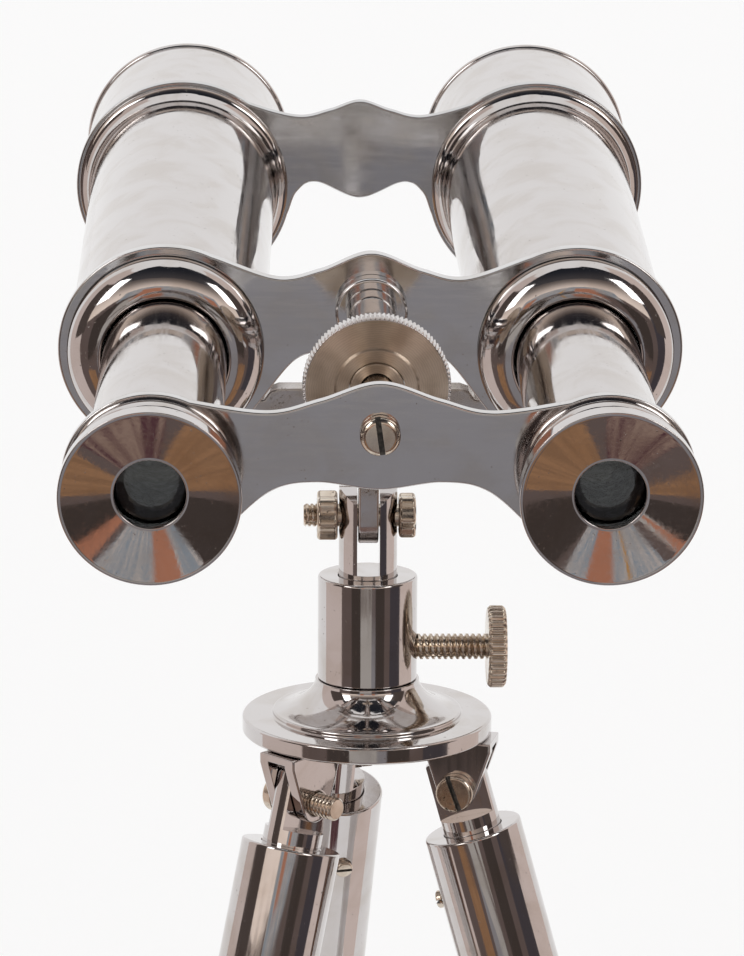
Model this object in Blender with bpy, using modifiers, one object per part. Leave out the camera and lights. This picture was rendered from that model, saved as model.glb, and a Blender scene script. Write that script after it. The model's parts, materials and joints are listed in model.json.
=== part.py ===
"""Opera glasses on a tabletop tripod, as separate turned, stamped and cut pieces.

World frame: +Z up, floor at z = 0, origin under the middle of the box, objectives towards +Y.
The glasses sit under an empty on the tilt bolt, raised a little at the objective end.
Inside that empty a second frame runs along the optical axes: X across, Y from the
eyecup faces to the objectives, Z up from the plane of the two optical axes.
"""

import math

import bmesh
import bpy
from mathutils import Matrix, Vector

MM = 0.001
GAP = 0.1                    # clearance between neighbouring pieces, mm

# Driving dimensions, in millimetres and degrees
AXIS_SPACING = 65.0          # distance between the two optical axes
TILT_ANGLE = 7.6             # objective end raised above horizontal
SPINDLE_HEIGHT = 7.0         # focus spindle above the optical axes

REAR_PLATE_Y, REAR_PLATE_THICK, REAR_LOBE_R = 8.0, 1.6, 12.9
MIDDLE_PLATE_Y, MIDDLE_PLATE_THICK, MIDDLE_LOBE_R = 67.4, 2.0, 17.1
FRONT_PLATE_Y, FRONT_PLATE_THICK, FRONT_LOBE_R = 165.0, 2.0, 19.8

EYECUP_R, EYE_HOLE_R, EYECUP_DEPTH = 13.0, 5.2, 3.0
DRAW_TUBE_R, DRAW_TUBE_WALL, DRAW_TUBE_END = 9.8, 0.7, 100.0
BARREL_REAR_R, BARREL_FRONT_R, BARREL_FLARE_R, BARREL_WALL = 15.4, 16.9, 19.2, 0.9
CAP_R, CAP_HOLE_R, CAP_HEIGHT, CAP_SKIRT_R = 15.6, 10.0, 4.9, 13.1
HOOD_R, HOOD_BEAD_R, HOOD_WALL, HOOD_END = 19.0, 19.5, 0.9, 198.4
LENS_R, LENS_EDGE, LENS_BULGE = 17.9, 2.2, 1.5
OBJECTIVE_APERTURE_R = 15.5
WHEEL_R, WHEEL_Y, WHEEL_THICK = 11.0, 28.0, 3.0
HUB_R, HUB_NECK_R, SPINDLE_R, SPINDLE_SCREW_R = 4.05, 3.0, 2.4, 1.5
SPINDLE_END, HUB_END = 62.0, 72.0
BOSS_R, BOSS_LENGTH = 5.7, 2.6

TILT_BOLT_Y, TILT_BOLT_DROP = 76.0, 31.1    # tilt bolt, from eyecup face and below the axes
TONGUE_THICK, TONGUE_DEPTH = 3.3, 9.2
BOLT_R = 1.9

POST_R, POST_SLOT = 4.8, 3.7
SOCKET_R, SOCKET_TOP, SOCKET_BOTTOM = 8.2, -10.0, -27.4    # heights below the tilt bolt
SLOT_FLOOR = -9.2
CLAMP_HEIGHT, CLAMP_SCREW_R = -22.3, 2.15
CLAMP_KNOB_R, CLAMP_KNOB_X, CLAMP_KNOB_THICK = 6.8, 19.8, 3.1
BASE_NECK_R, BASE_STEP_R, BASE_R = 8.6, 15.6, 20.7
BASE_TOP, BASE_BOTTOM = -33.9, -36.5

LEG_COUNT, LEG_FIRST_ANGLE = 3, 104.0       # azimuth of leg 1 from +Y towards +X
LEG_SPLAY = 16.0
PIVOT_RADIUS, PIVOT_DROP = 16.0, -45.0
PIVOT_HEIGHT = 206.0                        # above the floor
PLUG_R, PLUG_TOP, PLUG_SHOULDER, PLUG_END = 4.85, 4.6, 5.0, 25.0
LEG_TUBE_R, LEG_TUBE_TOP, LEG_TUBE_END, LEG_TUBE_WALL = 8.15, 7.6, 204.0, 1.1
FOOT_R, FOOT_TOP = 9.4, 192.0
LUG_WIDTH, LUG_SLOT, LUG_TOP_HALF, LUG_TIP_R = 7.7, 3.7, 5.6, 3.2
SET_SCREW_DROP = 18.6

BOLT_HEIGHT = PIVOT_HEIGHT - PIVOT_DROP     # tilt bolt above the floor
HALF = AXIS_SPACING / 2
SIDES = (("left", -HALF), ("right", HALF))

LARGE, MEDIUM, SMALL = 28, 16, 12           # facets round a turned piece


# ---------------------------------------------------------------- scene helpers

def clear_scene():
    for obj in list(bpy.data.objects):
        bpy.data.objects.remove(obj, do_unlink=True)


def new_collection(name):
    collection = bpy.data.collections.new(name)
    bpy.context.scene.collection.children.link(collection)
    return collection


clear_scene()
PARTS = new_collection("opera_glasses")
CUTTERS = new_collection("cutters")


def material(name, colour, roughness, metallic):
    mat = bpy.data.materials.new(name)
    mat.use_nodes = True
    shader = mat.node_tree.nodes["Principled BSDF"]
    shader.inputs["Base Color"].default_value = (*colour, 1.0)
    shader.inputs["Roughness"].default_value = roughness
    shader.inputs["Metallic"].default_value = metallic
    return mat


FINISHES = {
    "polished": ((0.80, 0.79, 0.77), 0.06, 1.0),
    "satin": ((0.62, 0.60, 0.57), 0.25, 1.0),
    "hardware": ((0.66, 0.60, 0.52), 0.30, 1.0),
    "glass": ((0.45, 0.50, 0.52), 0.03, 0.0),
    "rubber": ((0.03, 0.03, 0.03), 0.60, 0.0),
}


def finish(obj, look, parent):
    """Give a piece its own material, its collection and its parent."""
    obj.data.materials.clear()
    obj.data.materials.append(material(obj.name, *FINISHES[look]))
    obj.parent = parent
    if obj.name not in PARTS.objects:
        PARTS.objects.link(obj)
    return obj


def empty(name, location, rotation=(0, 0, 0), parent=None):
    obj = bpy.data.objects.new(name, None)
    obj.location = Vector(location) * MM
    obj.rotation_euler = rotation
    obj.parent = parent
    PARTS.objects.link(obj)
    return obj


ALONG_Y = (-math.pi / 2, 0, 0)     # turns local +Z to +Y
ALONG_X = (0, math.pi / 2, 0)      # turns local +Z to +X
FACE_Y = (math.pi / 2, 0, 0)       # puts a flat outline in XZ, extruded along Y
FACE_X = (math.pi / 2, 0, math.pi / 2)    # puts a flat outline in YZ, extruded along X


def turned(name, profile, look, parent, location=(0, 0, 0), rotation=(0, 0, 0),
           facets=LARGE, closed=True):
    """Turn (radius, height) points round local Z. Profiles run down their outer side."""
    mesh = bpy.data.meshes.new(name)
    points = [(r * MM, 0, h * MM) for r, h in profile]
    edges = [(i, i + 1) for i in range(len(points) - 1)]
    if closed:
        edges.append((len(points) - 1, 0))
    mesh.from_pydata(points, edges, [])
    obj = bpy.data.objects.new(name, mesh)
    obj.location = Vector(location) * MM
    obj.rotation_euler = rotation
    screw = obj.modifiers.new("turn", "SCREW")
    screw.axis = "Z"
    screw.steps = screw.render_steps = facets
    screw.use_merge_vertices = True
    screw.merge_threshold = 0.00001
    screw.use_smooth_shade = False
    return finish(obj, look, parent)


def ring_profile(outer, inner, low, high):
    return [(outer, high), (outer, low), (inner, low), (inner, high)]


def rod_profile(radius, low, high, chamfer=0.0):
    if chamfer:
        return [(0, high), (radius - chamfer, high), (radius, high - chamfer),
                (radius, low + chamfer), (radius - chamfer, low), (0, low)]
    return [(0, high), (radius, high), (radius, low), (0, low)]


def arc(centre, radius, start, end, count):
    """Points on an arc, angles in degrees."""
    steps = [math.radians(start + (end - start) * i / (count - 1)) for i in range(count)]
    return [(centre[0] + radius * math.cos(a), centre[1] + radius * math.sin(a)) for a in steps]


def smooth_run(keys, steps):
    """Catmull-Rom curve through the key points, with its ends included."""
    padded = [keys[0]] + list(keys) + [keys[-1]]
    run = []
    for i in range(1, len(padded) - 2):
        p0, p1, p2, p3 = (Vector(p) for p in padded[i - 1:i + 3])
        for step in range(steps):
            t = step / steps
            point = 0.5 * (2 * p1 + (p2 - p0) * t + (2 * p0 - 5 * p1 + 4 * p2 - p3) * t * t
                           + (3 * p1 - p0 - 3 * p2 + p3) * t ** 3)
            run.append((point.x, point.y))
    return run + [tuple(keys[-1])]


def sheet_mesh(name, outline, thickness, holes=()):
    """Extruded flat outline in local XY, centred on its thickness, as a closed mesh."""
    curve = bpy.data.curves.new(name, "CURVE")
    curve.dimensions = "2D"
    curve.fill_mode = "BOTH"
    curve.extrude = thickness * MM / 2
    loops = [outline]
    for (x, y), radius, facets in holes:
        loops.append(arc((x, y), radius, 0, 360 - 360 / facets, facets))
    for loop in loops:
        spline = curve.splines.new("POLY")
        spline.points.add(len(loop) - 1)
        for point, (x, y) in zip(spline.points, loop):
            point.co = (x * MM, y * MM, 0, 1)
        spline.use_cyclic_u = True
    temporary = bpy.data.objects.new(name + "_outline", curve)
    bpy.context.scene.collection.objects.link(temporary)
    graph = bpy.context.evaluated_depsgraph_get()
    mesh = bpy.data.meshes.new_from_object(temporary.evaluated_get(graph))
    bpy.data.objects.remove(temporary, do_unlink=True)
    work = bmesh.new()
    work.from_mesh(mesh)
    bmesh.ops.remove_doubles(work, verts=work.verts, dist=0.000005)
    bmesh.ops.recalc_face_normals(work, faces=work.faces)
    work.to_mesh(mesh)
    work.free()
    mesh.name = name
    return mesh


def sheet(name, outline, thickness, look, parent, location, rotation, holes=()):
    obj = bpy.data.objects.new(name, sheet_mesh(name, outline, thickness, holes))
    obj.location = Vector(location) * MM
    obj.rotation_euler = rotation
    return finish(obj, look, parent)


def as_cutter(obj, parent=None, location=(0, 0, 0), rotation=(0, 0, 0)):
    obj.location = Vector(location) * MM
    obj.rotation_euler = rotation
    obj.parent = parent
    obj.hide_render = True
    obj.display_type = "WIRE"
    CUTTERS.objects.link(obj)
    return obj


def box_cutter(name, size, **place):
    mesh = bpy.data.meshes.new(name)
    work = bmesh.new()
    scale = Matrix.Diagonal((size[0] * MM, size[1] * MM, size[2] * MM, 1))
    bmesh.ops.create_cube(work, size=1.0, matrix=scale)
    work.to_mesh(mesh)
    work.free()
    return as_cutter(bpy.data.objects.new(name, mesh), **place)


def rod_cutter(name, radius, length, facets=SMALL, **place):
    mesh = bpy.data.meshes.new(name)
    work = bmesh.new()
    bmesh.ops.create_cone(work, cap_ends=True, segments=facets, radius1=radius * MM,
                          radius2=radius * MM, depth=length * MM)
    work.to_mesh(mesh)
    work.free()
    return as_cutter(bpy.data.objects.new(name, mesh), **place)


def sheet_cutter(name, outline, thickness, **place):
    return as_cutter(bpy.data.objects.new(name, sheet_mesh(name, outline, thickness)), **place)


def cut(obj, cutter, operation="DIFFERENCE"):
    modifier = obj.modifiers.new(cutter.name, "BOOLEAN")
    modifier.operation = operation
    modifier.solver = "EXACT"
    modifier.object = cutter
    return obj


# ---------------------------------------------------------------- frames

tripod = empty("tripod", (0, 0, 0))
pan_axis = empty("pan_axis", (0, 0, BOLT_HEIGHT), parent=tripod)
glasses = empty("glasses", (0, 0, 0), (math.radians(TILT_ANGLE), 0, 0), pan_axis)


def optical(x, y, z):
    """Place in the glasses' frame, from optical coordinates, in millimetres."""
    return (x, y - TILT_BOLT_Y, z + TILT_BOLT_DROP)


carriage = empty("carriage", optical(0, 0, 0), parent=glasses)
drive = empty("focus_drive", optical(0, 0, SPINDLE_HEIGHT), parent=glasses)


# ---------------------------------------------------------------- plates

def plate_outline(top, bottom, lobe_r):
    """Outline of a plate with two round lobes, scalloped between them.

    top and bottom are key points on the right half: top from the centre to the lobe,
    bottom from the lobe to the centre."""
    def lobe_angle(point):
        return math.degrees(math.atan2(point[1], point[0] - HALF))
    start = lobe_angle(top[-1])
    end = lobe_angle(bottom[0])
    lobe = arc((HALF, 0), lobe_r, start, end, 26)
    right = smooth_run(top, 4)[:-1] + lobe + smooth_run(bottom, 4)[1:]
    left = [(-x, y) for x, y in reversed(right[1:-1])]
    return right + left


def on_lobe(x, lobe_r, sign):
    """Point of the right lobe at x, on its upper (+1) or lower (-1) half."""
    return (x, sign * math.sqrt(lobe_r ** 2 - (x - HALF) ** 2))


REAR_OUTLINE = plate_outline(
    top=[(0, 14.5), (8.5, 11.9), (16, 10.1), on_lobe(27, REAR_LOBE_R, 1)],
    bottom=[on_lobe(22.3, REAR_LOBE_R, -1), (15.6, -1.8), (9, -0.4), (0, -1.5)],
    lobe_r=REAR_LOBE_R)
MIDDLE_OUTLINE = plate_outline(
    top=[(0, 16.1), (8.0, 13.2), (15, 11.9), on_lobe(25.2, MIDDLE_LOBE_R, 1)],
    bottom=[on_lobe(18.2, MIDDLE_LOBE_R, -1), (12, -1.6), (6.5, -0.3), (0, -1.4)],
    lobe_r=MIDDLE_LOBE_R)
FRONT_OUTLINE = plate_outline(
    top=[(0, 16.3), (5.5, 14.6), (11.5, 13.4), on_lobe(20.5, FRONT_LOBE_R, 1)],
    bottom=[on_lobe(13.4, FRONT_LOBE_R, -1), (11.6, -0.9), (8, 1.0), (0, -2.0)],
    lobe_r=FRONT_LOBE_R)


def plate(name, outline, thick, bore, spindle_bore, parent, place):
    """Plate across both tubes, with its outline turned to face the eyepieces."""
    holes = [((-HALF, 0), bore, LARGE), ((HALF, 0), bore, LARGE)]
    if spindle_bore:
        holes.append(((0, SPINDLE_HEIGHT), spindle_bore, SMALL))
    return sheet(name, outline, thick, "satin", parent, place, FACE_Y, holes)


plate("rear_plate", REAR_OUTLINE, REAR_PLATE_THICK, 8.0, SPINDLE_SCREW_R + GAP,
      carriage, (0, REAR_PLATE_Y + REAR_PLATE_THICK / 2, 0))
plate("middle_plate", MIDDLE_OUTLINE, MIDDLE_PLATE_THICK, CAP_SKIRT_R, HUB_NECK_R + GAP,
      glasses, optical(0, MIDDLE_PLATE_Y + MIDDLE_PLATE_THICK / 2, 0))
plate("front_plate", FRONT_OUTLINE, FRONT_PLATE_THICK, OBJECTIVE_APERTURE_R, 0,
      glasses, optical(0, FRONT_PLATE_Y + FRONT_PLATE_THICK / 2, 0))


# ---------------------------------------------------------------- eyepieces

REAR_PLATE_BACK = REAR_PLATE_Y + REAR_PLATE_THICK


def eyepiece(side, x):
    eyecup = [(EYECUP_R - 0.5, EYECUP_DEPTH), (EYECUP_R, EYECUP_DEPTH - 0.5), (EYECUP_R, 0.5),
              (EYECUP_R - 0.4, 0.0), (EYE_HOLE_R, 2.3), (EYE_HOLE_R, EYECUP_DEPTH)]
    turned("eyecup_" + side, eyecup, "polished", carriage, (x, 0, 0), ALONG_Y)

    low = EYECUP_DEPTH + GAP
    high = REAR_PLATE_Y - GAP
    collar = [(12.0, high), (12.3, high - 1.2), (12.1, high - 2.4), (11.3, low + 0.6),
              (11.0, low), (7.2, low), (7.2, high)]
    turned("eyepiece_collar_" + side, collar, "polished", carriage, (x, 0, 0), ALONG_Y)

    lens = [(0, 5.6), (4.0, 5.9), (7.0, 6.6), (7.0, 3.8), (4.0, 3.9), (0, 4.0)]
    turned("eye_lens_" + side, lens, "glass", carriage, (x, 0, 0), ALONG_Y,
           facets=MEDIUM, closed=False)

    inner = DRAW_TUBE_R - DRAW_TUBE_WALL
    guide = BARREL_REAR_R - BARREL_WALL - 0.4
    tube = [(guide, DRAW_TUBE_END), (guide, DRAW_TUBE_END - 3.0),
            (DRAW_TUBE_R, DRAW_TUBE_END - 3.0), (DRAW_TUBE_R, REAR_PLATE_BACK + GAP),
            (inner, REAR_PLATE_BACK + GAP), (inner, DRAW_TUBE_END)]
    turned("draw_tube_" + side, tube, "polished", carriage, (x, 0, 0), ALONG_Y)


for side_name, side_x in SIDES:
    eyepiece(side_name, side_x)


# ---------------------------------------------------------------- barrels and objectives

MIDDLE_BACK = MIDDLE_PLATE_Y + MIDDLE_PLATE_THICK
FRONT_BACK = FRONT_PLATE_Y + FRONT_PLATE_THICK
FLARE_LENGTH = 4.2
BEAD_SIZE = 0.8


def barrel_profile():
    """Slightly conical tube that ends in a concave flare, with an even wall."""
    low = MIDDLE_BACK + GAP
    high = FRONT_PLATE_Y - GAP
    rise = BARREL_FLARE_R - BARREL_FRONT_R
    flare = []
    for i in range(6):
        t = 1 - i / 5
        flare.append((BARREL_FRONT_R + rise * t * t * t, high - FLARE_LENGTH * (1 - t)))
    outer = flare + [(BARREL_REAR_R, low)]
    inner = [(r - BARREL_WALL, h) for r, h in reversed(outer)]
    return outer + inner


def cap_profile():
    """Domed cap: straight skirt on the plate, round shoulder, hole for the draw tube."""
    high = MIDDLE_PLATE_Y - GAP
    top = high - CAP_HEIGHT
    width = CAP_R - CAP_HOLE_R - 0.4
    dome = []
    for i in range(7):
        a = math.radians(90 * i / 6)
        dome.append((CAP_R - width * (1 - math.cos(a)),
                     high - 0.8 - (CAP_HEIGHT - 0.8) * math.sin(a)))
    lip = [(CAP_HOLE_R, top + 0.4), (CAP_HOLE_R, top + 1.2)]
    inner = [(12.4, top + 1.6), (CAP_SKIRT_R, high - 1.2), (CAP_SKIRT_R, high)]
    return [(CAP_R, high)] + dome + lip + inner


def lens_profile(radius, edge, bulge, low):
    """Double convex disc standing on height low."""
    def face(base, sign):
        return [(radius * k / 4, base + sign * bulge * (1 - (k / 4) ** 2)) for k in range(5)]
    return face(low + edge, 1) + list(reversed(face(low, -1)))


def barrel(side, x):
    turned("barrel_" + side, barrel_profile(), "polished", glasses, optical(x, 0, 0), ALONG_Y)
    turned("barrel_cap_" + side, cap_profile(), "polished", glasses, optical(x, 0, 0), ALONG_Y)
    start = FRONT_BACK + GAP
    inner = HOOD_R - HOOD_WALL
    bead = arc((HOOD_BEAD_R - BEAD_SIZE, HOOD_END - BEAD_SIZE), BEAD_SIZE, 90, -68, 6)
    hood = bead + [(HOOD_R, start), (inner, start), (inner, HOOD_END)]
    turned("objective_hood_" + side, hood, "polished", glasses, optical(x, 0, 0), ALONG_Y)
    lens_low = start + LENS_BULGE + 0.2
    lens = lens_profile(LENS_R, LENS_EDGE, LENS_BULGE, lens_low)
    turned("objective_lens_" + side, lens, "glass", glasses, optical(x, 0, 0), ALONG_Y,
           closed=False)
    ring_low = lens_low + LENS_EDGE + 0.4
    turned("objective_ring_" + side, ring_profile(LENS_R, LENS_R - 1.4, ring_low, ring_low + 1.8),
           "satin", glasses, optical(x, 0, 0), ALONG_Y)


for side_name, side_x in SIDES:
    barrel(side_name, side_x)


# ---------------------------------------------------------------- focus drive

def focus_drive():
    head_y = REAR_PLATE_Y - GAP
    spindle_low = REAR_PLATE_BACK + GAP
    tapped = SPINDLE_SCREW_R + GAP
    screw_end = 18.0
    spindle = [(0, SPINDLE_END), (SPINDLE_R, SPINDLE_END), (SPINDLE_R, spindle_low),
               (tapped, spindle_low), (tapped, screw_end + 2), (0, screw_end + 2)]
    turned("focus_spindle", spindle, "hardware", carriage, (0, 0, SPINDLE_HEIGHT), ALONG_Y,
           facets=MEDIUM, closed=False)
    screw = [(0, screw_end), (SPINDLE_SCREW_R, screw_end), (SPINDLE_SCREW_R, head_y),
             (2.9, head_y), (2.9, head_y - 1.4), (2.5, head_y - 1.8), (0, head_y - 1.8)]
    turned("spindle_screw", screw, "hardware", carriage, (0, 0, SPINDLE_HEIGHT), ALONG_Y,
           facets=MEDIUM, closed=False)

    bore = HUB_R + GAP
    high = WHEEL_Y + WHEEL_THICK
    wheel = [(WHEEL_R - 0.3, high), (WHEEL_R, high - 0.3), (WHEEL_R, WHEEL_Y + 0.3),
             (WHEEL_R - 0.3, WHEEL_Y), (6.2, WHEEL_Y), (6.0, WHEEL_Y - 0.3),
             (bore, WHEEL_Y - 0.3), (bore, high)]
    turned("focus_wheel", wheel, "satin", drive, (0, 0, 0), ALONG_Y)
    neck_low = MIDDLE_PLATE_Y - BOSS_LENGTH - 2 * GAP
    hub_bore = SPINDLE_R + 0.1
    hub = [(HUB_NECK_R, HUB_END), (HUB_NECK_R, neck_low), (HUB_R, neck_low),
           (HUB_R, WHEEL_Y - 0.6), (hub_bore, WHEEL_Y - 0.6), (hub_bore, HUB_END)]
    turned("focus_hub", hub, "polished", drive, (0, 0, 0), ALONG_Y, facets=MEDIUM)
    nut_low = MIDDLE_BACK + GAP
    turned("hub_nut", ring_profile(4.8, HUB_NECK_R + GAP, nut_low, nut_low + 1.8), "hardware", drive,
           (0, 0, 0), ALONG_Y, facets=MEDIUM)
    boss_bore = HUB_NECK_R + GAP
    boss_low = MIDDLE_PLATE_Y - BOSS_LENGTH
    boss = [(BOSS_R, MIDDLE_PLATE_Y - GAP), (BOSS_R, boss_low + 0.5), (BOSS_R - 0.5, boss_low),
            (boss_bore, boss_low), (boss_bore, MIDDLE_PLATE_Y - GAP)]
    turned("focus_boss", boss, "satin", glasses, optical(0, 0, SPINDLE_HEIGHT), ALONG_Y,
           facets=MEDIUM)


focus_drive()


# ---------------------------------------------------------------- tilt head

def bracket_outline():
    """Cross bar whose ends cradle the undersides of the two barrels."""
    cradle = arc((HALF, 0), BARREL_REAR_R + 0.3, 221, 250, 6)
    right = [(0, -8.0), (14.6, -8.0), (16.0, -8.5), (17.0, -9.9)] + cradle + [
        (27.4, -16.4), (20.0, -15.6), (8.0, -15.2), (0, -15.2)]
    left = [(-x, z) for x, z in reversed(right[1:-1])]
    return right + left


def round_ended(low, high, half_width, round_low=True):
    """Upright bar outline with one round end. Its end circle is centred on the origin."""
    if round_low:
        return [(half_width, high)] + arc((0, 0), half_width, 0, -180, 11) + [(-half_width, high)]
    return [(-half_width, low)] + arc((0, 0), half_width, 180, 0, 11) + [(half_width, low)]


def tilt_head():
    bar = sheet("stand_bracket", bracket_outline(), 3.4, "satin", glasses,
                optical(0, TILT_BOLT_Y - 1.8, 0), FACE_Y)
    tongue_top = TILT_BOLT_DROP - 12.0
    tongue = sheet_cutter("tongue_form", round_ended(0, tongue_top, TONGUE_DEPTH / 2),
                          TONGUE_THICK, parent=glasses, rotation=FACE_X)
    hole = rod_cutter("tilt_hole", BOLT_R + GAP, 30, parent=glasses, rotation=ALONG_X)
    cut(bar, tongue, "UNION")
    cut(bar, hole)

    post = turned("head_post", rod_profile(POST_R, -26.0, 6.0), "polished", pan_axis,
                  facets=MEDIUM, closed=False)
    crown = sheet_cutter("post_crown", round_ended(-30, 0, POST_R + 0.2, round_low=False), 20,
                         parent=pan_axis, rotation=FACE_X)
    slot_top = 8.0
    slot = box_cutter("post_slot", (POST_SLOT, 20, slot_top - SLOT_FLOOR), parent=pan_axis,
                      location=(0, 0, (slot_top + SLOT_FLOOR) / 2))
    post_hole = rod_cutter("post_hole", BOLT_R + GAP, 30, parent=pan_axis, rotation=ALONG_X)
    cut(post, crown, "INTERSECT")
    cut(post, slot)
    cut(post, post_hole)

    face = POST_R + 0.2
    turned("tilt_bolt", rod_profile(BOLT_R, -face - 5.6, face + 2.4, 0.3), "hardware", pan_axis,
           rotation=ALONG_X, facets=SMALL, closed=False)
    sheet("tilt_bolt_knob", lobed(3.5, 0.35), 2.8, "hardware", pan_axis,
          (face + 1.4, 0, 0), FACE_X, holes=[((0, 0), BOLT_R + GAP, SMALL)])
    sheet("tilt_nut", lobed(3.75, 0.35), 3.4, "hardware", pan_axis,
          (-face - 1.7, 0, 0), FACE_X, holes=[((0, 0), BOLT_R + GAP, SMALL)])


def lobed(radius, wave, lobes=6, per_lobe=6):
    """Star knob outline: a circle with a soft wave round it."""
    count = lobes * per_lobe
    outline = []
    for i in range(count):
        a = 2 * math.pi * i / count
        r = radius + wave * math.cos(lobes * a)
        outline.append((r * math.cos(a), r * math.sin(a)))
    return outline


tilt_head()


# ---------------------------------------------------------------- socket, base and clamp

def stand_core():
    socket = turned("socket_sleeve",
                    ring_profile(SOCKET_R, POST_R + GAP, SOCKET_BOTTOM, SOCKET_TOP),
                    "polished", tripod, (0, 0, BOLT_HEIGHT), facets=MEDIUM)
    clamp_hole = rod_cutter("clamp_hole", CLAMP_SCREW_R + GAP, 10, parent=tripod,
                            location=(POST_R + 5, 0, BOLT_HEIGHT + CLAMP_HEIGHT),
                            rotation=ALONG_X)
    cut(socket, clamp_hole)

    neck = SOCKET_BOTTOM - GAP
    flare_low = BASE_TOP + 0.7
    flare = []
    for i in range(7):
        a = math.radians(90 * i / 6)
        flare.append((BASE_STEP_R - (BASE_STEP_R - BASE_NECK_R) * math.cos(a),
                      flare_low + (neck - 0.6 - flare_low) * (1 - math.sin(a))))
    base = [(0, neck), (BASE_NECK_R, neck)] + flare + [
        (BASE_STEP_R, BASE_TOP), (BASE_R - 0.3, BASE_TOP), (BASE_R, BASE_TOP - 0.4),
        (BASE_R, BASE_BOTTOM + 0.5), (BASE_R - 0.5, BASE_BOTTOM), (0, BASE_BOTTOM)]
    turned("tripod_base", base, "polished", tripod, (0, 0, BOLT_HEIGHT), closed=False)

    clamp = empty("clamp_axis", (0, 0, BOLT_HEIGHT + CLAMP_HEIGHT), parent=tripod)
    knob_end = CLAMP_KNOB_X + CLAMP_KNOB_THICK
    turned("clamp_screw", rod_profile(CLAMP_SCREW_R, POST_R + 0.3, knob_end - 0.3, 0.3),
           "hardware", clamp, rotation=ALONG_X, facets=SMALL, closed=False)
    turned("clamp_knob",
           ring_profile(CLAMP_KNOB_R, CLAMP_SCREW_R + GAP, CLAMP_KNOB_X, knob_end),
           "hardware", clamp, rotation=ALONG_X, facets=MEDIUM)


stand_core()


# ---------------------------------------------------------------- legs

def lug_outline(root):
    """Fork lug seen along its pin: wide at the root, tapering to a round tip."""
    tip = arc((0, 0), LUG_TIP_R, -10, -170, 9)
    return [(LUG_TOP_HALF, root), (LUG_TOP_HALF, root - 1.6)] + tip + [
        (-LUG_TOP_HALF, root - 1.6), (-LUG_TOP_HALF, root)]


def leg(number):
    angle = LEG_FIRST_ANGLE + (number - 1) * 360 / LEG_COUNT
    turn = math.radians(90 - angle)          # local +X points outward along the leg's azimuth
    outward = Vector((math.cos(turn), math.sin(turn), 0))
    pivot = outward * PIVOT_RADIUS + Vector((0, 0, PIVOT_HEIGHT))
    frame = empty("leg_pivot_%d" % number, pivot, (0, 0, turn), tripod)
    splayed = empty("leg_%d" % number, (0, 0, 0), (0, math.radians(180 - LEG_SPLAY), 0), frame)

    def named(part):
        return "%s_%d" % (part, number)

    root = BASE_BOTTOM - PIVOT_DROP - GAP
    lug = sheet(named("base_lug"), lug_outline(root), LUG_WIDTH, "polished", frame,
                (0, 0, 0), FACE_Y, holes=[((0, 0), BOLT_R + GAP, SMALL)])
    slot = box_cutter(named("lug_slot"), (30, LUG_SLOT, 14), parent=frame,
                      location=(0, 0, root - 1.2 - 7))
    cut(lug, slot)

    head_face = LUG_WIDTH / 2 + GAP
    pin = [(0, LUG_WIDTH / 2 + 4.4), (BOLT_R - 0.3, LUG_WIDTH / 2 + 4.4),
           (BOLT_R, LUG_WIDTH / 2 + 4.1), (BOLT_R, -head_face), (3.1, -head_face),
           (3.1, -head_face - 1.7), (2.8, -head_face - 2.0), (0, -head_face - 2.0)]
    turned(named("leg_screw"), pin, "hardware", frame, rotation=ALONG_Y, facets=SMALL,
           closed=False)

    plug = turned(named("leg_plug"), rod_profile(PLUG_R, -PLUG_TOP, PLUG_END), "polished",
                  splayed, facets=MEDIUM, closed=False)
    cheek = 10.0
    for sign in (1, -1):
        cheek_cutter = box_cutter(
            named("plug_cheek_%s" % ("front" if sign > 0 else "back")),
            (30, cheek, PLUG_SHOULDER + 20), parent=splayed,
            location=(0, sign * (TONGUE_THICK + cheek) / 2, (PLUG_SHOULDER - 20) / 2))
        cut(plug, cheek_cutter)
    cut(plug, rod_cutter(named("plug_hole"), BOLT_R + GAP, 20, parent=splayed, rotation=FACE_Y))

    bore = LEG_TUBE_R - LEG_TUBE_WALL
    step = PLUG_END + 3.0
    tube = [(LEG_TUBE_R, LEG_TUBE_END), (LEG_TUBE_R, LEG_TUBE_TOP + 0.3),
            (LEG_TUBE_R - 0.3, LEG_TUBE_TOP), (PLUG_R + GAP, LEG_TUBE_TOP),
            (PLUG_R + GAP, step), (bore, step), (bore, LEG_TUBE_END)]
    tube = turned(named("leg_tube"), tube, "polished", splayed, facets=MEDIUM)
    cut(tube, rod_cutter(named("set_screw_hole"), 1.6, 6.0, parent=splayed,
                         location=(PLUG_R + 3.2, 0, SET_SCREW_DROP), rotation=ALONG_X))
    turned(named("leg_set_screw"), rod_profile(1.5, PLUG_R + 0.3, LEG_TUBE_R + 1.0, 0.2),
           "hardware", splayed, (0, 0, SET_SCREW_DROP), ALONG_X, facets=SMALL, closed=False)

    foot = [(0, 230.0), (FOOT_R, 230.0), (FOOT_R, FOOT_TOP + 0.8), (FOOT_R - 0.8, FOOT_TOP),
            (LEG_TUBE_R + GAP, FOOT_TOP), (LEG_TUBE_R + GAP, LEG_TUBE_END + GAP),
            (0, LEG_TUBE_END + GAP)]
    foot = turned(named("leg_foot"), foot, "rubber", splayed, facets=MEDIUM, closed=False)
    cut(foot, floor)


floor = box_cutter("floor_plane", (400, 400, 60), location=(0, 0, -30), parent=tripod)
for leg_number in range(1, LEG_COUNT + 1):
    leg(leg_number)


# ---------------------------------------------------------------- origin

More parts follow.
